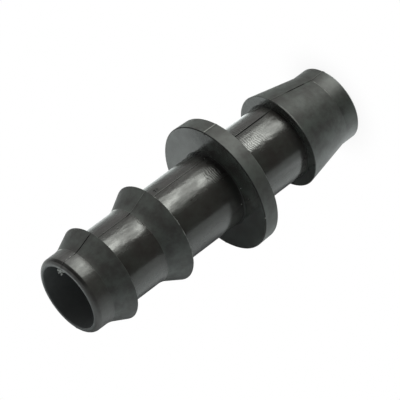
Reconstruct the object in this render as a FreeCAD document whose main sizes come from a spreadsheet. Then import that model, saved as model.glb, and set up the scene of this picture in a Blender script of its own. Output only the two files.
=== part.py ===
"""Straight barbed coupler for drip line, moulded in one piece.

A thin-walled tube stands on the end of its grip tail, with the origin at the centre of that end face
and +Z along the bore. From the bottom up it has a plain tip, a long barb whose step faces the collar,
a bare root, the collar, a longer bare root, a barb, a bare gap, a second barb and a plain tip with a
fully rounded lip. The mould opened along Y, so a fine line of flash runs down each side in the XZ
plane. All sizes are in millimetres and degrees.
"""

import FreeCAD
import Part
import os
import Sketcher

# Driving dimensions. Radii grow outwards from the bore, and heights stack upwards from the lower end.
SIZES = {
    "bore_radius": 5.25,
    "wall": 0.9,
    "grip_tip_length": 2.8,
    "grip_barb_rise": 1.68,
    "grip_barb_length": 8.42,
    "grip_root_length": 10.6,
    "collar_rise": 4.28,
    "collar_draft": 0.1,
    "collar_thickness": 2.72,
    "line_root_length": 12.2,
    "inner_barb_rise": 1.9,
    "inner_barb_length": 3.46,
    "barb_gap": 7.37,
    "outer_barb_rise": 1.62,
    "outer_barb_length": 3.23,
    "line_tip_rise": 0.1,
    "line_tip_length": 3.2,
    "lip_round": 0.85,
    "mouth_break": 0.12,
    "grip_end_break": 0.3,
    "ridge_break": 0.08,
    "collar_edge_break": 0.12,
    "collar_root_bevel": 0.12,
    "barb_blend": 4.0,
    "flash_height": 0.06,
    "flash_angle": 1.1,
}

# Heights above the lower end, each a stack of lengths.
GRIP_END = []
GRIP_CONE = ["grip_tip_length"]
GRIP_RIDGE = GRIP_CONE + ["grip_barb_length"]
COLLAR_BOTTOM = GRIP_RIDGE + ["grip_root_length"]
COLLAR_TOP = COLLAR_BOTTOM + ["collar_thickness"]
INNER_RIDGE = COLLAR_TOP + ["line_root_length"]
INNER_CONE = INNER_RIDGE + ["inner_barb_length"]
OUTER_RIDGE = INNER_CONE + ["barb_gap"]
OUTER_CONE = OUTER_RIDGE + ["outer_barb_length"]
LINE_END = OUTER_CONE + ["line_tip_length"]

# Radii, each a stack of thicknesses.
AXIS = []
BORE = ["bore_radius"]
SHAFT = BORE + ["wall"]
GRIP_BARB = SHAFT + ["grip_barb_rise"]
COLLAR_RIM_BOTTOM = SHAFT + ["collar_rise"]
COLLAR_RIM_TOP = COLLAR_RIM_BOTTOM + ["collar_draft"]
INNER_BARB = SHAFT + ["inner_barb_rise"]
OUTER_BARB = SHAFT + ["outer_barb_rise"]
LINE_TIP = SHAFT + ["line_tip_rise"]

# The lip is rounded as far as the wall beside the mouth allows.
LIP_ROUND = "min(Sizes.lip_round; Sizes.wall + Sizes.line_tip_rise - Sizes.mouth_break)"


def make_sheet(doc):
    sheet = doc.addObject("Spreadsheet::Sheet", "Sizes")
    for row, (name, size) in enumerate(SIZES.items(), start=1):
        sheet.set("A%d" % row, name)
        sheet.set("B%d" % row, str(size))
        sheet.setAlias("B%d" % row, name)
    doc.recompute()


def total(doc, terms):
    """The length of a stack of sizes, read from the sheet."""
    return float(sum(doc.Sizes.get(name) for name in terms))


def total_formula(terms):
    """The same stack as an expression."""
    return " + ".join("Sizes." + name for name in terms)


def attached_sketch(body, name, role):
    sketch = body.newObject("Sketcher::SketchObject", name)
    plane = next(item for item in body.Origin.OriginFeatures if item.Role == role)
    sketch.AttachmentSupport = [(plane, "")]
    sketch.MapMode = "FlatFace"
    return sketch


def tie(sketch, kind, corner, terms):
    """Holds one coordinate of a corner: on the sketch's axis if its stack is empty, else at its sum."""
    if not terms:
        sketch_axis = -2 if kind == "DistanceX" else -1
        sketch.addConstraint(Sketcher.Constraint("PointOnObject", corner, 1, sketch_axis))
        return
    length = total(sketch.Document, terms)
    index = sketch.addConstraint(Sketcher.Constraint(kind, -1, 1, corner, 1, length))
    sketch.setExpression("Constraints[%d]" % index, total_formula(terms))


def turn(body, name, corners):
    """Adds the solid swept once round the bore's axis by an outline of (radius, height) corners."""
    doc = body.Document
    sketch = attached_sketch(body, name + "Section", "YZ_Plane")
    points = [FreeCAD.Vector(total(doc, radius), total(doc, height), 0) for radius, height in corners]
    count = len(points)
    for start in range(count):
        sketch.addGeometry(Part.LineSegment(points[start], points[(start + 1) % count]), False)
    for start in range(count):
        sketch.addConstraint(Sketcher.Constraint("Coincident", start, 2, (start + 1) % count, 1))
    for corner, (radius, height) in enumerate(corners):
        tie(sketch, "DistanceX", corner, radius)
        tie(sketch, "DistanceY", corner, height)
    feature = body.newObject("PartDesign::Revolution", name)
    feature.Profile = sketch
    feature.ReferenceAxis = (sketch, ["V_Axis"])
    feature.Angle = 360
    doc.recompute()


def add_tube(body):
    turn(body, "Tube", [(AXIS, GRIP_END), (SHAFT, GRIP_END), (SHAFT, LINE_END), (AXIS, LINE_END)])


def add_collar(body):
    """The stop for both pipes, with a little draft on its rim."""
    turn(body, "Collar", [
        (AXIS, COLLAR_BOTTOM),
        (COLLAR_RIM_BOTTOM, COLLAR_BOTTOM),
        (COLLAR_RIM_TOP, COLLAR_TOP),
        (AXIS, COLLAR_TOP),
    ])


def add_grip_barb(body):
    """One long slope from the plain tip to a ridge that steps back down to the shaft."""
    turn(body, "GripBarb", [
        (AXIS, GRIP_CONE),
        (SHAFT, GRIP_CONE),
        (GRIP_BARB, GRIP_RIDGE),
        (AXIS, GRIP_RIDGE),
    ])


def add_inner_barb(body):
    turn(body, "InnerBarb", [
        (AXIS, INNER_RIDGE),
        (INNER_BARB, INNER_RIDGE),
        (SHAFT, INNER_CONE),
        (AXIS, INNER_CONE),
    ])


def add_outer_barb(body):
    """The barb behind the upper tip, with the tip's slightly thicker wall."""
    turn(body, "OuterBarb", [
        (AXIS, OUTER_RIDGE),
        (OUTER_BARB, OUTER_RIDGE),
        (LINE_TIP, OUTER_CONE),
        (LINE_TIP, LINE_END),
        (AXIS, LINE_END),
    ])


def cut_bore(body):
    """The water way, one straight hole from end to end."""
    doc = body.Document
    sketch = attached_sketch(body, "BoreCircle", "XY_Plane")
    circle = Part.Circle(FreeCAD.Vector(0, 0, 0), FreeCAD.Vector(0, 0, 1), total(doc, BORE))
    sketch.addGeometry(circle, False)
    sketch.addConstraint(Sketcher.Constraint("Coincident", 0, 3, -1, 1))
    index = sketch.addConstraint(Sketcher.Constraint("Radius", 0, total(doc, BORE)))
    sketch.setExpression("Constraints[%d]" % index, total_formula(BORE))
    solid_volume = body.Tip.Shape.Volume
    pocket = body.newObject("PartDesign::Pocket", "Bore")
    pocket.Profile = sketch
    pocket.Type = "ThroughAll"
    pocket.Reversed = True
    doc.recompute()
    if pocket.Shape.Volume >= solid_volume:
        raise RuntimeError("the bore cut nothing")


def ring_edges(body, rings):
    """The names of the tip's round edges that lie at the given (radius, height) pairs."""
    doc = body.Document
    places = [(total(doc, radius), total(doc, height)) for radius, height in rings]
    found = []
    for number, edge in enumerate(body.Tip.Shape.Edges, start=1):
        if not isinstance(edge.Curve, Part.Circle):
            continue
        circle = edge.Curve
        if any(abs(circle.Radius - r) < 1e-5 and abs(circle.Center.z - z) < 1e-5 for r, z in places):
            found.append("Edge%d" % number)
    if len(found) < len(rings):
        raise RuntimeError("only %d of %d edges found" % (len(found), len(rings)))
    return found


def dress_rings(body, kind, size_property, name, rings, size_formula):
    """Fillets or chamfers the edges at the given rings with one size from the sheet."""
    base = body.Tip
    edges = ring_edges(body, rings)
    feature = body.newObject(kind, name)
    feature.Base = (base, edges)
    feature.setExpression(size_property, size_formula)
    body.Document.recompute()


def fillet_rings(body, name, rings, radius_formula):
    dress_rings(body, "PartDesign::Fillet", "Radius", name, rings, radius_formula)


def break_rings(body, name, rings, size_formula):
    dress_rings(body, "PartDesign::Chamfer", "Size", name, rings, size_formula)


def finish_edges(body):
    """The blends under the two short barbs, the collar's roots, the broken edges and the rounded lip."""
    fillet_rings(body, "OuterBarbBlend", [(LINE_TIP, OUTER_CONE)], "Sizes.barb_blend")
    fillet_rings(body, "InnerBarbBlend", [(SHAFT, INNER_CONE)], "Sizes.barb_blend")
    ridges = [(GRIP_BARB, GRIP_RIDGE), (INNER_BARB, INNER_RIDGE), (OUTER_BARB, OUTER_RIDGE)]
    break_rings(body, "RidgeBreaks", ridges, "Sizes.ridge_break")
    rims = [(COLLAR_RIM_BOTTOM, COLLAR_BOTTOM), (COLLAR_RIM_TOP, COLLAR_TOP)]
    break_rings(body, "CollarEdges", rims, "Sizes.collar_edge_break")
    roots = [(SHAFT, COLLAR_BOTTOM), (SHAFT, COLLAR_TOP)]
    break_rings(body, "CollarRoots", roots, "Sizes.collar_root_bevel")
    break_rings(body, "GripEnd", [(SHAFT, GRIP_END)], "Sizes.grip_end_break")
    break_rings(body, "Mouths", [(BORE, GRIP_END), (BORE, LINE_END)], "Sizes.mouth_break")
    fillet_rings(body, "Lip", [(LINE_TIP, LINE_END)], LIP_ROUND)


def add_turned_form(doc):
    """The tube with its collar and barbs, bored through."""
    body = doc.addObject("PartDesign::Body", "TurnedForm")
    add_tube(body)
    add_collar(body)
    add_grip_barb(body)
    add_inner_barb(body)
    add_outer_barb(body)
    cut_bore(body)
    finish_edges(body)
    return body


def add_flash_line(doc, name, turned_form, azimuth):
    """A raised line where the mould halves met: the wall's section, shifted out and swept a little."""
    reach = 2 * total(doc, COLLAR_RIM_TOP)
    length = total(doc, LINE_END)
    sweep = total(doc, ["flash_angle"])
    centre = FreeCAD.Vector(0, 0, 0)
    bore_axis = FreeCAD.Vector(0, 0, 1)
    out = FreeCAD.Vector(1, 0, 0)
    half_plane = Part.makePlane(reach, length, centre, FreeCAD.Vector(0, -1, 0), out)
    section = turned_form.Shape.common(half_plane).Faces[0]
    section.translate(out * total(doc, ["flash_height"]))
    section.rotate(centre, bore_axis, -sweep / 2)
    flash = doc.addObject("Part::Feature", name)
    flash.Shape = section.revolve(centre, bore_axis, sweep)
    flash.Placement = FreeCAD.Placement(centre, FreeCAD.Rotation(bore_axis, azimuth))
    return flash


def add_coupler(doc):
    """The finished piece, one solid."""
    turned_form = add_turned_form(doc)
    right_flash = add_flash_line(doc, "RightFlash", turned_form, 0)
    left_flash = add_flash_line(doc, "LeftFlash", turned_form, 180)
    coupler = doc.addObject("Part::MultiFuse", "Coupler")
    coupler.Label = "coupler"
    coupler.Shapes = [turned_form, right_flash, left_flash]
    coupler.Placement = FreeCAD.Placement()
    doc.recompute()
    return coupler


def check(doc, node):
    for item in doc.Objects:
        if "Invalid" in item.State or "Error" in item.State:
            raise RuntimeError("%s did not build: %s" % (item.Name, item.State))
    if node.Shape.isNull() or not node.Shape.isValid():
        raise RuntimeError("%s has no valid shape" % node.Label)
    if len(node.Shape.Solids) != 1:
        raise RuntimeError("%s is %d solids" % (node.Label, len(node.Shape.Solids)))


def main():
    doc = FreeCAD.newDocument("BarbedCoupler")
    make_sheet(doc)
    coupler = add_coupler(doc)
    check(doc, coupler)
    os.makedirs("parts", exist_ok=True)
    coupler.Shape.exportStep("parts/%s.step" % coupler.Label)
    print(coupler.Label, coupler.Shape.optimalBoundingBox(False, False))


main()
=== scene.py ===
"""The looks of the barbed coupler: black moulded plastic, lit like the photograph, on a pale floor."""

import math
import random

import bmesh
import bpy
from mathutils import Matrix, Vector


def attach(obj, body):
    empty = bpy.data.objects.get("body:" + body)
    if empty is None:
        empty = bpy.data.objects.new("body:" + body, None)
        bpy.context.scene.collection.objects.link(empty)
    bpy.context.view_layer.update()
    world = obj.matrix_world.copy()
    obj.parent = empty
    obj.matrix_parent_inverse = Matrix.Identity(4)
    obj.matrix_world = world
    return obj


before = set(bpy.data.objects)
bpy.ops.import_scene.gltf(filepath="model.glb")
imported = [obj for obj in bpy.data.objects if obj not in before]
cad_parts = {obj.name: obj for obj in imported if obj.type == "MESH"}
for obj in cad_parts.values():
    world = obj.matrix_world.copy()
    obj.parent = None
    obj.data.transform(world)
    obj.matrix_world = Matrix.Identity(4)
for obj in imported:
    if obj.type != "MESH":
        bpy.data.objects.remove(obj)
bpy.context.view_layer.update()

MM = 0.001
UP = Vector((0, 0, 1))
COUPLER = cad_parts["coupler"]

# The camera, worked out from the ellipses of the mouth and the collar in the photograph.
CAMERA_AZIMUTH = math.radians(-45)
VIEW_TO_AXIS = math.radians(62.30)
AXIS_IN_PICTURE = Vector((0.8014, -0.5981))
FOCAL_MM = 256.2
SENSOR_MM = 36.0
CAMERA_DISTANCE = 416.8 * MM
AIM_HEIGHT = 27.32 * MM
AIM_ALONG = 0.261 * MM
AIM_ACROSS = -0.058 * MM

# The stage and its light, in metres, with directions in the model's frame. The table that the real one
# lay on is a card beside it here, and the softbox that stood over it is below the floor. The softbox is
# brighter towards its middle.
FLOOR_SIZE = 6.0
SHADE_REACH = 6 * MM
SHADE_LEVEL = 0.92
CARD_FACES = math.radians(-9)
CARD_DISTANCE = 11.0 * MM
CARD_SIZE = 1.6
SOFTBOX_AZIMUTH = math.radians(-1)
SOFTBOX_ELEVATION = math.radians(-27.7)
SOFTBOX_DISTANCE = 0.6
SOFTBOX_WIDTH = 0.46
SOFTBOX_HEIGHT = 0.46
SOFTBOX_RADIANCE = 4.6
SOFTBOX_COLOUR = (0.97, 1.0, 0.94)
CORE_AZIMUTH = math.radians(-4)
CORE_WIDTH = 0.2
CORE_RADIANCE = 4.4
ROOM_LEVEL = 0.04
ROOM_LEFT = 0.6
ROOM_LEFT_AZIMUTH = math.radians(60)
ROOM_ABOVE = 0.55

# Heights in mm: the ends of the coupler's zones as in the CAD, two bands at the lip, how far a zone
# keeps from an edge, and how far one reaches past the coupler's end. The grip is the long barb at the
# far end, and the inner and the outer barb are the two short ones between the collar and the mouth.
FAR_TIP_TOP = 2.8
GRIP_RIDGE = 11.22
COLLAR_BOTTOM = 21.82
COLLAR_TOP = 24.54
INNER_RIDGE = 36.74
INNER_SLOPE_TOP = 40.2
OUTER_RIDGE = 47.57
OUTER_SLOPE_TOP = 50.8
NEAR_MOUTH = 54.0
# The first band at the lip is painted shade on the lip's rounding.
LIP_SHADE_BAND = (53.3, 53.65)
LIP_INSIDE = (53.8, 53.95)
ZONE_MARGIN = 0.05
PAST_END = 1.0

# Radii in mm. On the way outwards, a mask rises from 0 to 1 between the two of a pair that is past or
# on something, and falls to 0 between the two of a pair that is up to something.
SHAFT_RADIUS = 6.15
PAST_BORE = (5.4, 5.7)
UP_TO_LIP = (5.5, 5.7)
PAST_LIP = (5.6, 5.8)
COLLAR_ROOT = (6.1, 6.3)
UP_TO_ROOT = (6.25, 6.35)
PAST_SHAFT = (6.3, 6.4)
ON_GRIP_RIDGE = (7.64, 7.72)
ON_INNER_RIDGE = (7.85, 7.95)
ON_RIM = (10.3, 10.36)
ON_COLLAR_EDGE = (10.37, 10.42)

# The seam's lines, as y in mm. The camera is on the side where y is below 0.
DARK_LINE = (-0.12, -0.04)
WIDE_DARK_LINE = (-0.2, -0.05)
# The pale lines are painted highlights on the flash, and the soft one is painted light over the flash's own
# shade.
SOFT_PALE_LINE = (-0.12, 0.04)
PALE_LINE_BESIDE = (0.01, 0.06)
PALE_LINE_EDGE = (0.02, 0.075)
RIM_LINE_EDGE = (0.06, 0.14)

# Pitch in mm of the chatter's waves and of the dashes on the near tip's seam.
CHATTER_PITCH = 0.36
DASH_PITCH = 0.75

# Cosine and sine of the azimuth of the lit side, 10 degrees from the front seam, and how much of what
# shows there is left on the other side.
LIT_SIDE = (0.985, -0.174)
UNLIT_LEVEL = 0.08

# Round marks on the coupler, and round patches of painted shade and painted highlight: azimuth in degrees,
# radius and height in mm of the centre, and then the distances in mm from it at which the mark starts to
# fade and is gone.
TOOL_MARKED = (-26, SHAFT_RADIUS, 26.7, 0.6, 1.7)
PIT = (8, SHAFT_RADIUS, 34.4, 0.25, 0.6)
NOTCH = (-1, 10.35, COLLAR_TOP, 0.05, 0.28)
# Painted shade: less reflection on the grip's shaft beside the step
STEP_SHADE = (-13, SHAFT_RADIUS, 11.9, 0.6, 1.7)
FACE_SMUDGE = (-2, 9.9, COLLAR_TOP, 0.5, 6.0)
TIP_GLEAM = (-7, 6.1, 52.1, 0.9, 2.2)

# Colours
MARK_BLACK = (0.004, 0.004, 0.004, 1)
MATT_DARK = (0.018, 0.0165, 0.0155, 1)
MATT_LIGHT = (0.032, 0.0375, 0.033, 1)
POLISHED_BLACK = (0.030, 0.026, 0.0245, 1)
# Painted light: the bore is lighter grey for the light that reaches inside it
BORE_PAINTED_LIGHT = (0.075, 0.08, 0.08, 1)
# Painted highlights on the seam's flash, the tool marks and the ridges, painted light over the flash's own
# shade, and a lighter rim
PALE_HIGHLIGHT_GREY = (0.16, 0.165, 0.155, 1)
# Painted highlights where the slopes of the short barbs meet the shaft
SLOPE_HIGHLIGHT_GREY = (0.42, 0.43, 0.42, 1)
FLASH_DARK = (0.12, 0.125, 0.12, 1)
FLASH_LIGHT = (0.30, 0.31, 0.29, 1)
CARD_WHITE = (0.86, 0.90, 0.92, 1)
CARD_GREY = (0.395, 0.42, 0.43, 1)
CARD_GLOW = (0.95, 0.99, 1.0, 1)
WHITE = (1, 1, 1, 1)

# Small rough balls: azimuth in degrees, radius and height in mm of the centre, and the size in mm.
CRUMBS = [
    (-63.9, 6.90, 24.56, 0.16),
    (-87.2, 6.20, 25.00, 0.14),
    (-93.2, 10.47, 24.47, 0.16),
    (-0.5, 6.20, 25.30, 0.13),
    (-28.8, 6.16, 30.78, 0.13),
    (-43.0, 8.00, 36.78, 0.13),
    (-48.7, 8.00, 36.76, 0.15),
    (-78.0, 7.60, 24.55, 0.10),
    (7.0, 6.17, 34.75, 0.12),
    (0.5, 6.27, 51.9, 0.15),
    (0.5, 6.22, 53.2, 0.15),
    (-7.0, 6.16, 43.6, 0.12),
    (-17.0, 6.16, 43.4, 0.12),
    (0.0, 6.24, 45.5, 0.12),
]
FLASH_NIB = [
    (0.5, 5.20, 53.86, 0.46),
    (3.0, 5.00, 53.88, 0.40),
    (5.0, 4.72, 53.88, 0.52),
    (9.0, 4.50, 53.88, 0.40),
    (1.0, 4.48, 53.88, 0.34),
    (4.0, 4.25, 53.86, 0.28),
    (-3.5, 5.15, 53.84, 0.34),
    (-6.5, 5.22, 53.80, 0.26),
    (-1.5, 4.85, 53.86, 0.30),
    (8.0, 4.98, 53.74, 0.60),
    (3.0, 4.95, 53.76, 0.66),
]
BALL_STRETCH = (0.7, 1.3)
BALL_ROUGHNESS = (0.85, 1.15)


def direction(azimuth, elevation=0.0):
    """Unit vector at an azimuth and an elevation in radians."""
    flat = math.cos(elevation)
    return Vector((flat * math.cos(azimuth), flat * math.sin(azimuth), math.sin(elevation)))


def ring_place(azimuth, radius, height):
    """Point at an azimuth in degrees, a radius and a height."""
    turn = math.radians(azimuth)
    return Vector((radius * math.cos(turn), radius * math.sin(turn), height))


def link(name, data):
    """A new object in the scene with the given data."""
    obj = bpy.data.objects.new(name, data)
    bpy.context.scene.collection.objects.link(obj)
    return obj


def facing(z_axis, place):
    """A matrix at a place whose local +Z points along z_axis."""
    return Matrix.Translation(place) @ z_axis.to_track_quat("Z", "Y").to_matrix().to_4x4()


# Camera
def add_camera():
    """The camera of the photograph. The near mouth is at its lower left, the far end at its upper right."""
    outwards = direction(CAMERA_AZIMUTH)
    across = UP.cross(outwards)
    towards = math.cos(VIEW_TO_AXIS) * UP + math.sin(VIEW_TO_AXIS) * outwards
    along = math.sin(VIEW_TO_AXIS) * UP - math.cos(VIEW_TO_AXIS) * outwards
    right = -AXIS_IN_PICTURE.x * along + AXIS_IN_PICTURE.y * across
    up = AXIS_IN_PICTURE.y * along + AXIS_IN_PICTURE.x * across
    data = bpy.data.cameras.new("camera")
    data.lens = FOCAL_MM
    data.sensor_width = SENSOR_MM
    data.clip_start = 0.01
    data.clip_end = 10
    camera = link("camera", data)
    place = AIM_HEIGHT * UP + CAMERA_DISTANCE * towards + AIM_ALONG * along + AIM_ACROSS * across
    camera.matrix_world = Matrix.Translation(place) @ Matrix((right, up, towards)).transposed().to_4x4()
    bpy.context.scene.camera = camera


# Materials
class Tree:
    """A node tree, filled by short calls that each give back an output socket."""

    def __init__(self, owner):
        owner.use_nodes = True
        self.nodes = owner.node_tree.nodes
        self.links = owner.node_tree.links
        self.nodes.clear()

    def feed(self, socket, value):
        """Link a socket to an input, or set the input to a constant."""
        if isinstance(value, bpy.types.NodeSocket):
            self.links.new(value, socket)
        else:
            socket.default_value = value

    def node(self, kind, output=0, inputs=None, **settings):
        """A new node with its inputs fed and its settings made. Gives back the output asked for."""
        node = self.nodes.new(kind)
        for key, value in settings.items():
            setattr(node, key, value)
        for key, value in (inputs or {}).items():
            self.feed(node.inputs[key], value)
        return node.outputs[output]

    def math(self, operation, *values):
        return self.node("ShaderNodeMath", inputs=dict(enumerate(values)), operation=operation)

    def chain(self, operation, values):
        """One math operation carried through any number of values."""
        result = values[0]
        for value in values[1:]:
            result = self.math(operation, result, value)
        return result

    def times(self, *values):
        return self.chain("MULTIPLY", values)

    def plus(self, *values):
        return self.chain("ADD", values)

    def largest(self, *values):
        return self.chain("MAXIMUM", values)

    def wave(self, value, pitch, shift=0.0):
        """Sine that repeats at every pitch of a value, shifted by an angle in radians."""
        return self.math("SINE", self.plus(self.times(value, 2 * math.pi / pitch), shift))

    def vector(self, operation, a, b=(0.0, 0.0, 0.0), output=0):
        return self.node("ShaderNodeVectorMath", output, {0: a, 1: b}, operation=operation)

    def split(self, vector):
        node = self.nodes.new("ShaderNodeSeparateXYZ")
        self.feed(node.inputs[0], vector)
        return node.outputs[0], node.outputs[1], node.outputs[2]

    def ramp(self, value, low, high, start=0.0, end=1.0):
        """Smooth step from start to end while value goes from low to high."""
        inputs = {"Value": value, "From Min": low, "From Max": high, "To Min": start, "To Max": end}
        return self.node("ShaderNodeMapRange", "Result", inputs, interpolation_type="SMOOTHSTEP")

    def fade(self, value, low, high):
        """Smooth step from 1 down to 0 while value goes from low to high."""
        return self.ramp(value, low, high, 1.0, 0.0)

    def window(self, value, low, high, soft=0.05):
        """1 between low and high, falling to 0 over the soft margin outside."""
        return self.times(self.ramp(value, low - soft, low), self.fade(value, high, high + soft))

    def noise(self, vector, scale, detail=2.0, roughness=0.5):
        inputs = {"Vector": vector, "Scale": scale, "Detail": detail, "Roughness": roughness}
        return self.node("ShaderNodeTexNoise", "Fac", inputs)

    def mix(self, factor, a, b):
        """Number between a and b."""
        return self.node("ShaderNodeMapRange", "Result", {"Value": factor, "To Min": a, "To Max": b})

    def mix_colour(self, factor, a, b):
        inputs = {"Factor": factor, 6: a, 7: b}
        return self.node("ShaderNodeMix", 2, inputs, data_type="RGBA")

    def millimetres(self):
        """The place on the object, in mm."""
        metres = self.node("ShaderNodeTexCoord", "Object")
        return self.vector("MULTIPLY", metres, (1000.0, 1000.0, 1000.0))

    def finish(self, shader, kind="ShaderNodeOutputMaterial"):
        """Link a shader to the tree's output."""
        self.links.new(shader, self.nodes.new(kind).inputs[0])


class CouplerPlastic(Tree):
    """The coupler's coordinates in mm, its zones, patterns and marks, and the looks mixed from them.

    A zone or mark is a mask, which is 1 where its name holds and 0 elsewhere.
    """

    def __init__(self, owner):
        super().__init__(owner)
        self.place = self.millimetres()
        self.x, self.y, self.z = self.split(self.place)
        squares = self.plus(self.times(self.x, self.x), self.times(self.y, self.y))
        self.radius = self.math("SQRT", squares)
        self.outside = self.ramp(self.radius, *PAST_BORE)

        # Cosine of the angle from the lit side, and a mask that is 1 near that side
        along_light = self.plus(self.times(self.x, LIT_SIDE[0]), self.times(self.y, LIT_SIDE[1]))
        self.nearness = self.math("DIVIDE", along_light, self.radius)
        self.lit = self.ramp(self.nearness, 0.72, 0.93, UNLIT_LEVEL, 1.0)

        # Zones by height and radius
        self.far_tip = self.times(self.outside, self.window(self.z, -PAST_END, FAR_TIP_TOP))
        self.grip_shaft = self.window(self.z, GRIP_RIDGE + ZONE_MARGIN, COLLAR_BOTTOM - ZONE_MARGIN)
        self.collar = self.window(self.z, COLLAR_BOTTOM, COLLAR_TOP)
        self.inner_shaft = self.window(self.z, COLLAR_TOP + ZONE_MARGIN, INNER_RIDGE - ZONE_MARGIN)
        self.inner_slope = self.window(self.z, INNER_RIDGE, INNER_SLOPE_TOP)
        self.outer_shaft = self.window(self.z, INNER_SLOPE_TOP + 0.1, OUTER_RIDGE - ZONE_MARGIN)
        self.near_tip = self.window(self.z, OUTER_SLOPE_TOP + 0.15, NEAR_MOUTH + PAST_END)
        self.rim = self.times(self.collar, self.ramp(self.radius, *ON_RIM))
        self.collar_face = self.face(COLLAR_TOP)
        self.step_face = self.face(GRIP_RIDGE)
        smooth = self.plus(self.grip_shaft, self.inner_shaft, self.outer_shaft, self.near_tip)
        self.polished = self.times(self.outside, smooth)

        # Patterns that more than one of the looks share
        mottle = self.noise(self.place, scale=0.45, detail=5.0, roughness=0.65)
        clouds = self.noise(self.drawn_out(0.5), scale=0.5, detail=4.0, roughness=0.6)
        self.mottle = self.ramp(mottle, 0.3, 0.7)
        self.clouds = self.ramp(clouds, 0.35, 0.65)
        self.streaks = self.noise(self.drawn_out(0.12), scale=2.4)

        # Marks, painted shade and painted highlights that more than one of the looks share
        # Painted shade on a band of the lip's rounding, on the lit side
        self.lip_shade_band = self.times(self.lit, self.ring(*LIP_SHADE_BAND, PAST_LIP, soft=0.12))
        self.chatter, tool_mark_gleam = self.tool_marks()
        dark_seam, pale_seam = self.seam()
        self.dark = self.largest(dark_seam, self.dark_marks_and_shade())
        self.pale = self.plus(pale_seam, tool_mark_gleam, self.painted_highlights_and_rim())

    def ring(self, low, high, radii, soft=0.03):
        """Between two heights and from a pair of radii outwards."""
        return self.times(self.window(self.z, low, high, soft), self.ramp(self.radius, *radii))

    def face(self, height):
        """The flat face at a height, from the shaft outwards."""
        return self.ring(height - 0.03, height + 0.04, PAST_SHAFT)

    def spot(self, azimuth, radius, height, inner, outer):
        """1 within the inner distance of a point on the coupler, falling to 0 at the outer one."""
        centre = tuple(ring_place(azimuth, radius, height))
        distance = self.vector("DISTANCE", self.place, centre, "Value")
        return self.fade(distance, inner, outer)

    def drawn_out(self, share):
        """The place with less of its height, which draws a pattern out along the axis."""
        return self.vector("MULTIPLY", self.place, (1.0, 1.0, share))

    def seam(self):
        """The line where the mould halves met: one mask where it is dark, and one where highlights and
        light over the flash's own shade are painted pale.
        """
        by_grip_ridge = self.window(self.z, 8.6, GRIP_RIDGE, soft=1.2)
        by_outer_ridge = self.window(self.z, 41.3, OUTER_RIDGE, soft=0.8)

        # Dark line, fainter by two of the ridges and wider along the grip's shaft
        lengths = self.window(self.z, FAR_TIP_TOP + 1.6, OUTER_SLOPE_TOP + 0.6)
        for zone in (self.inner_shaft, self.collar, self.inner_slope):
            lengths = self.times(lengths, self.mix(zone, 1.0, 0.0))
        faded = self.times(self.mix(by_grip_ridge, 1.0, 0.15), self.mix(by_outer_ridge, 1.0, 0.3))
        narrow = self.window(self.y, *DARK_LINE, soft=0.02)
        wide = self.window(self.y, *WIDE_DARK_LINE, soft=0.02)
        dark = self.largest(
            self.times(self.outside, narrow, lengths, faded),
            self.times(self.grip_shaft, wide, self.ramp(self.z, 12.0, 13.5)),
        )

        # Pale line of painted highlight, dashed on the near tip, with a soft one of painted light over the
        # raised flash's shade where the dark line is fainter
        off_seam = self.math("ABSOLUTE", self.y)
        dashes = self.ramp(self.wave(self.z, DASH_PITCH), -0.2, 0.4)
        lengths = self.plus(
            self.times(0.45, self.inner_shaft, self.ramp(self.z, 26.0, 28.5)),
            self.times(self.near_tip, dashes),
            self.times(0.45, self.far_tip),
            self.times(0.15, self.inner_slope),
        )
        soft_lengths = self.plus(by_grip_ridge, by_outer_ridge, self.times(0.6, self.inner_slope))
        beside = self.window(self.y, *PALE_LINE_BESIDE, soft=0.03)
        softened = self.window(self.y, *SOFT_PALE_LINE, soft=0.03)
        pale = self.plus(
            self.times(self.outside, self.fade(off_seam, *PALE_LINE_EDGE), lengths),
            self.times(self.rim, self.fade(off_seam, *RIM_LINE_EDGE)),
            self.times(0.6, self.grip_shaft, beside, self.ramp(self.z, 13.0, 19.0)),
            self.times(0.2, self.outside, softened, soft_lengths),
        )
        return dark, pale

    def tool_marks(self):
        """Chatter of the tool beside the collar, from -1 to 1, and pale stripes painted as a highlight on
        the tool marks of the inner shaft.
        """
        broad_warp = self.times(11.0, self.noise(self.place, scale=0.5, detail=1.0))
        fine_warp = self.times(9.0, self.noise(self.place, scale=1.4, detail=3.0))
        waves = self.wave(self.z, CHATTER_PITCH, self.plus(broad_warp, fine_warp))
        beside_collar = self.times(self.grip_shaft, self.ramp(self.z, 13.5, 18.0))
        tool_marked = self.times(self.inner_shaft, self.spot(*TOOL_MARKED))
        reach = self.times(self.ramp(self.nearness, 0.87, 0.94), self.plus(beside_collar, tool_marked))
        tool_mark_gleam = self.times(0.8, tool_marked, self.ramp(waves, 0.2, 0.9))
        return self.times(waves, reach), tool_mark_gleam

    def painted_highlights_and_rim(self):
        """Painted highlights along the ridges and on the line round the far tip, and the lighter rim."""
        patchy = self.ramp(self.noise(self.place, scale=0.9, detail=3.0), 0.46, 0.6)
        inner_ridge = self.ring(INNER_RIDGE, INNER_RIDGE + 0.09, ON_INNER_RIDGE)
        grip_ridge = self.ring(GRIP_RIDGE - 0.14, GRIP_RIDGE - 0.01, ON_GRIP_RIDGE)
        grip_arc = self.times(self.ramp(self.nearness, 0.7, 0.9), self.fade(self.y, -2.6, -1.0))
        tip_line = self.window(self.z, FAR_TIP_TOP + 0.02, FAR_TIP_TOP + 0.12, soft=0.04)
        tip_arc = self.times(self.ramp(self.nearness, 0.82, 0.93), self.fade(self.y, -0.7, -0.2))
        return self.plus(
            self.times(patchy, inner_ridge),
            self.times(0.85, grip_ridge, grip_arc),
            self.times(self.outside, tip_line, tip_arc, self.mix(patchy, 0.3, 1.0)),
            self.times(0.08, self.rim),
        )

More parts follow.
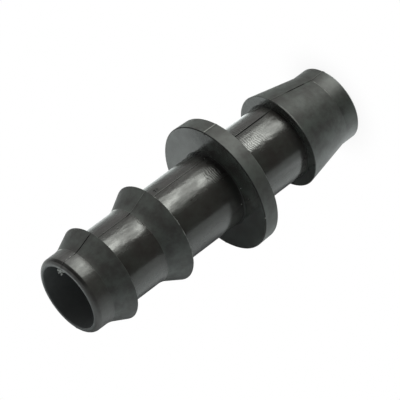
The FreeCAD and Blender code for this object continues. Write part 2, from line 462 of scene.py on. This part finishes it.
    def painted_slope_highlights(self):
        """Two short pale arcs painted as highlights where the slopes of the short barbs meet the shaft."""
        rings = self.plus(
            self.window(self.z, INNER_SLOPE_TOP + 0.12, INNER_SLOPE_TOP + 0.26),
            self.window(self.z, OUTER_SLOPE_TOP + 0.22, OUTER_SLOPE_TOP + 0.36),
        )
        sine_of_azimuth = self.math("DIVIDE", self.y, self.radius)
        arc = self.window(sine_of_azimuth, 0.54, 0.69, soft=0.11)
        return self.times(self.outside, rings, arc, self.ramp(self.x, 0.0, 1.0))

    def dark_marks_and_shade(self):
        """A dark line on the collar's edge, painted shade at the collar's root and on the shaft beside it,
        a ragged pit and a notch in the edge.
        """
        at_edge = self.ramp(self.z, COLLAR_TOP - 0.16, COLLAR_TOP - 0.1)
        at_root = self.window(self.z, COLLAR_TOP - 0.01, COLLAR_TOP + 0.16, soft=0.03)
        by_root = self.window(self.z, COLLAR_TOP, COLLAR_TOP + 0.46, soft=1.4)
        ragged = self.ramp(self.noise(self.place, scale=2.5, detail=3.0), 0.4, 0.55)
        return self.largest(
            self.times(0.8, at_edge, self.ramp(self.radius, *ON_COLLAR_EDGE)),
            self.times(0.8, at_root, self.window(self.radius, *COLLAR_ROOT)),
            self.times(0.5, self.outside, by_root, self.fade(self.radius, *UP_TO_ROOT)),
            self.times(ragged, self.spot(*PIT)),
            self.spot(*NOTCH),
        )

    def colour(self):
        """Mottled black, greyer in the bore as painted light, pale at painted highlights and on the rim,
        black at marks and at painted shade.
        """
        colour = self.mix_colour(self.mottle, MATT_DARK, MATT_LIGHT)
        colour = self.mix_colour(self.times(0.5, self.polished), colour, POLISHED_BLACK)
        colour = self.mix_colour(self.outside, BORE_PAINTED_LIGHT, colour)
        colour = self.mix_colour(self.pale, colour, PALE_HIGHLIGHT_GREY)
        colour = self.mix_colour(self.painted_slope_highlights(), colour, SLOPE_HIGHLIGHT_GREY)
        black = self.largest(self.dark, self.times(0.7, self.lip_shade_band))
        return self.mix_colour(black, colour, MARK_BLACK)

    def roughness(self):
        """Low on the shafts and the faces of the collar and the step, high on the barbs and the rim."""
        shafts = self.mix(self.lit, 0.19, self.mix(self.clouds, 0.22, 0.33))
        roughness = self.mix(self.polished, 0.54, shafts)
        by_zone = [
            (self.times(self.outside, self.near_tip), 0.4),
            (self.collar_face, 0.14),
            (self.step_face, 0.18),
            (self.far_tip, 0.47),
            (self.pale, 0.6),
        ]
        for zone, value in by_zone:
            roughness = self.mix(zone, roughness, value)
        return roughness

    def relief(self):
        """Height in mm: flow marks along the shafts, chatter beside the collar, grain where it is matt."""
        swells = self.noise(self.drawn_out(0.35), scale=0.5)
        ripples = self.noise(self.place, scale=0.95, detail=3.0, roughness=0.45)
        flow = self.plus(self.times(0.1, swells), self.times(0.04, ripples), self.times(0.01, self.streaks))
        grain = self.noise(self.place, scale=3.5, detail=3.0, roughness=0.6)
        grain_depth = self.mix(self.polished, 0.014, self.mix(self.near_tip, 0.005, 0.03))
        return self.plus(
            self.times(self.polished, self.lit, flow),
            self.times(0.008, self.chatter),
            self.times(grain_depth, grain),
        )

    def gloss(self):
        """Clouded, brushed and striped on the shafts, strong on part of the near tip as a painted
        highlight, weak in marks and at painted shade.
        """
        shafts = self.mix(self.lit, 0.5, self.mix(self.clouds, 0.69, 0.43))
        gloss = self.mix(self.polished, self.mix(self.mottle, 0.42, 0.58), shafts)
        brushed = self.times(self.polished, self.lit, self.mix(self.streaks, -0.2, 0.2))
        gloss = self.plus(gloss, brushed, self.times(0.26, self.chatter))
        lip_inside = self.times(self.ramp(self.z, *LIP_INSIDE), self.fade(self.radius, *UP_TO_LIP))
        by_mark = [
            (self.times(self.near_tip, self.spot(*TIP_GLEAM)), 1.9),
            (self.lip_shade_band, 0.25),
            (lip_inside, 0.6),
            (self.dark, 0.08),
            (self.spot(*STEP_SHADE), 0.35),
            (self.times(self.collar_face, self.spot(*FACE_SMUDGE)), 0.4),
        ]
        for mark, share in by_mark:
            gloss = self.times(gloss, self.mix(mark, 1.0, share))
        return gloss


def new_tree(name, kind=Tree):
    """A new material and its emptied node tree."""
    material = bpy.data.materials.new(name)
    return material, kind(material)


def moulded_plastic():
    """Black plastic, polished on the shafts and on two faces, satin on the near tip, matt elsewhere."""
    material, tree = new_tree("black_plastic", CouplerPlastic)
    inputs = {
        "Base Color": tree.colour(),
        "Roughness": tree.roughness(),
        "Specular IOR Level": tree.gloss(),
        "Normal": tree.node("ShaderNodeBump", 0, {"Height": tree.relief(), "Distance": MM}),
    }
    tree.finish(tree.node("ShaderNodeBsdfPrincipled", 0, inputs))
    return material


def thin_plastic():
    """The same plastic where it is thin and catches the light, for flash and crumbs."""
    material, tree = new_tree("thin_plastic")
    mottle = tree.noise(tree.millimetres(), 3.0)
    colour = tree.mix_colour(mottle, FLASH_DARK, FLASH_LIGHT)
    tree.finish(tree.node("ShaderNodeBsdfPrincipled", 0, {"Base Color": colour, "Roughness": 0.45}))
    return material


def card_material():
    """White table top, with the light that the room adds outside the coupler's shadow.

    Distances on the card are in mm from its middle, which is beside the coupler's far end.
    """
    material, tree = new_tree("table_card")
    leftwards, height = tree.split(tree.millimetres())[:2]
    sideways = tree.math("ABSOLUTE", leftwards)
    nearby = tree.fade(sideways, 18.0, 45.0)
    room = tree.times(0.4, tree.ramp(sideways, 3.0, 10.0), nearby)
    low = tree.times(tree.ramp(height, -14.0, -4.0), tree.fade(height, -2.0, 7.0))
    more_on_left = tree.ramp(leftwards, -6.0, 6.0, 0.85, 1.35)
    by_far_end = tree.times(more_on_left, low, tree.ramp(sideways, 1.0, 6.0), nearby)
    inputs = {
        "Base Color": tree.mix_colour(tree.ramp(leftwards, 25.0, 90.0), CARD_WHITE, CARD_GREY),
        "Roughness": 1.0,
        "Specular IOR Level": 0.0,
        "Emission Color": CARD_GLOW,
        "Emission Strength": tree.plus(room, by_far_end),
    }
    tree.finish(tree.node("ShaderNodeBsdfPrincipled", 0, inputs))
    return material


def floor_material():
    """White to the camera, with a painted shadow a little darker close to the coupler."""
    material, tree = new_tree("floor")
    openness = tree.node("ShaderNodeAmbientOcclusion", "AO", {"Distance": SHADE_REACH}, samples=16)
    level = tree.ramp(openness, 0.3, 1.0, SHADE_LEVEL, 1.0)
    tree.finish(tree.node("ShaderNodeEmission", 0, {"Color": WHITE, "Strength": level}))
    return material


# Small pieces
def add_lumps(name, lumps, material, seed):
    """One piece of small rough balls that rides on the coupler."""
    chance = random.Random(seed)
    mesh = bmesh.new()
    for azimuth, radius, height, size in lumps:
        ball = bmesh.ops.create_icosphere(mesh, subdivisions=2, radius=size * MM / 2)
        stretch = Vector([chance.uniform(*BALL_STRETCH) for _ in range(3)])
        centre = ring_place(azimuth, radius, height) * MM
        for vertex in ball["verts"]:
            vertex.co = centre + chance.uniform(*BALL_ROUGHNESS) * (vertex.co * stretch)
    data = bpy.data.meshes.new(name)
    mesh.to_mesh(data)
    mesh.free()
    data.materials.append(material)
    piece = link(name, data)
    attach(piece, "root")


# Stage
def plane(name, size):
    """A square sheet around the origin, facing up."""
    half = size / 2
    mesh = bpy.data.meshes.new(name)
    corners = [(-half, -half, 0), (half, -half, 0), (half, half, 0), (-half, half, 0)]
    mesh.from_pydata(corners, [], [(0, 1, 2, 3)])
    return link(name, mesh)


def add_stage():
    """The floor, which only the camera sees, and the card, which lights the coupler unseen."""
    floor = plane("floor", FLOOR_SIZE)
    floor.data.materials.append(floor_material())
    floor.visible_diffuse = False
    floor.visible_glossy = False
    floor.visible_shadow = False
    card = plane("table_card", CARD_SIZE)
    card.data.materials.append(card_material())
    card.matrix_world = facing(direction(CARD_FACES), -CARD_DISTANCE * direction(CARD_FACES))
    card.visible_camera = False
    card.visible_shadow = False


def add_lamp(name, azimuth, width, radiance):
    """A rectangle of light at the softbox's height and distance, shining at the coupler."""
    data = bpy.data.lights.new(name, "AREA")
    data.shape = "RECTANGLE"
    data.size = width
    data.size_y = SOFTBOX_HEIGHT
    data.color = SOFTBOX_COLOUR
    data.energy = math.pi * radiance * width * SOFTBOX_HEIGHT
    outwards = direction(azimuth, SOFTBOX_ELEVATION)
    lamp = link(name, data)
    lamp.matrix_world = facing(outwards, AIM_HEIGHT * UP + SOFTBOX_DISTANCE * outwards)


def add_room():
    """A dim room, lighter to the left and above, that the camera sees as white."""
    world = bpy.data.worlds.new("room")
    tree = Tree(world)
    way = tree.node("ShaderNodeTexCoord", "Generated")
    leftwards = tree.vector("DOT_PRODUCT", way, tuple(direction(ROOM_LEFT_AZIMUTH)), "Value")
    left = tree.ramp(leftwards, 0.5, 0.85, 0.0, ROOM_LEFT)
    above = tree.ramp(tree.split(way)[2], 0.2, 0.95, 0.0, ROOM_ABOVE)
    level = tree.plus(ROOM_LEVEL, left, above)
    seen = tree.node("ShaderNodeLightPath", "Is Camera Ray")
    strength = tree.mix(seen, level, 1.0)
    background = tree.node("ShaderNodeBackground", 0, {"Color": WHITE, "Strength": strength})
    tree.finish(background, "ShaderNodeOutputWorld")
    bpy.context.scene.world = world


add_camera()
COUPLER.material_slots[0].material = moulded_plastic()
pale_plastic = thin_plastic()
add_lumps("crumbs", CRUMBS, pale_plastic, seed=7)
add_lumps("flash_nib", FLASH_NIB, pale_plastic, seed=3)
add_stage()
add_lamp("softbox", SOFTBOX_AZIMUTH, SOFTBOX_WIDTH, SOFTBOX_RADIANCE)
add_lamp("softbox_core", CORE_AZIMUTH, CORE_WIDTH, CORE_RADIANCE)
add_room()
bpy.context.scene.view_settings.view_transform = "Standard"
